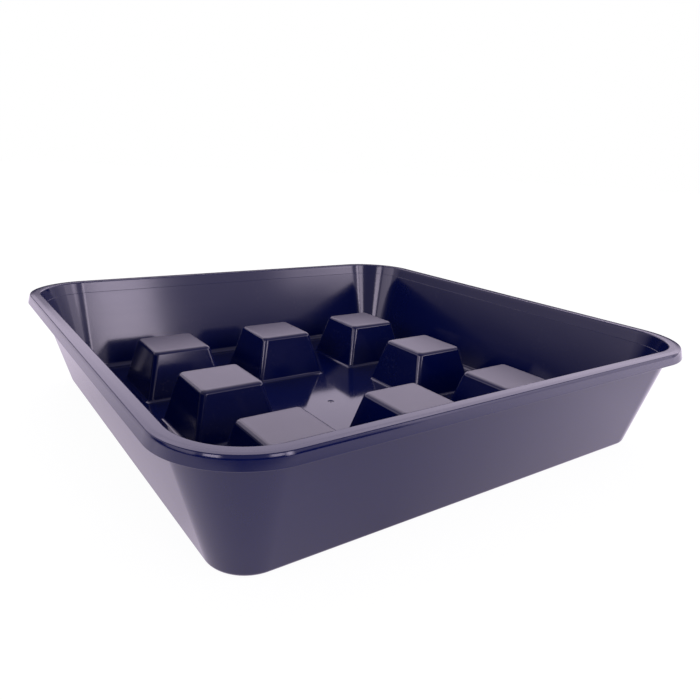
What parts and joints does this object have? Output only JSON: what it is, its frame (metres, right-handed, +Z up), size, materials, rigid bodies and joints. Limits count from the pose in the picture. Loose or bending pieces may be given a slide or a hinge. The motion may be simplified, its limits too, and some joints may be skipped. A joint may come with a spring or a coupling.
{
  "type": "square plant saucer",
  "caption": "Square plastic plant saucer with sloping walls, round corners, a turned-over rim and raised hollow pot rests on its floor.",
  "frame": {"origin": "centre of the underside, on the table", "axes": "+Z up, out of the mouth; -Y out of the front wall and -X out of the left wall, the two walls nearest the viewer in the picture"},
  "size_m": [0.3002, 0.3002, 0.06],
  "materials": {
    "saucer_plastic": "satin-gloss moulded plastic, black with a plum cast"
  },
  "bodies": {
    "root": {"floor_panel": "saucer_plastic", "front_wall": "saucer_plastic", "back_wall": "saucer_plastic", "left_wall": "saucer_plastic", "right_wall": "saucer_plastic", "front_left_wall_corner": "saucer_plastic", "front_right_wall_corner": "saucer_plastic", "back_left_wall_corner": "saucer_plastic", "back_right_wall_corner": "saucer_plastic", "front_rim": "saucer_plastic", "back_rim": "saucer_plastic", "left_rim": "saucer_plastic", "right_rim": "saucer_plastic", "front_left_rim_corner": "saucer_plastic", "front_right_rim_corner": "saucer_plastic", "back_left_rim_corner": "saucer_plastic", "back_right_rim_corner": "saucer_plastic", "front_left_pedestal": "saucer_plastic", "front_pedestal": "saucer_plastic", "front_right_pedestal": "saucer_plastic", "right_pedestal": "saucer_plastic", "back_right_pedestal": "saucer_plastic", "back_pedestal": "saucer_plastic", "back_left_pedestal": "saucer_plastic", "left_pedestal": "saucer_plastic"}
  },
  "joints": []
}
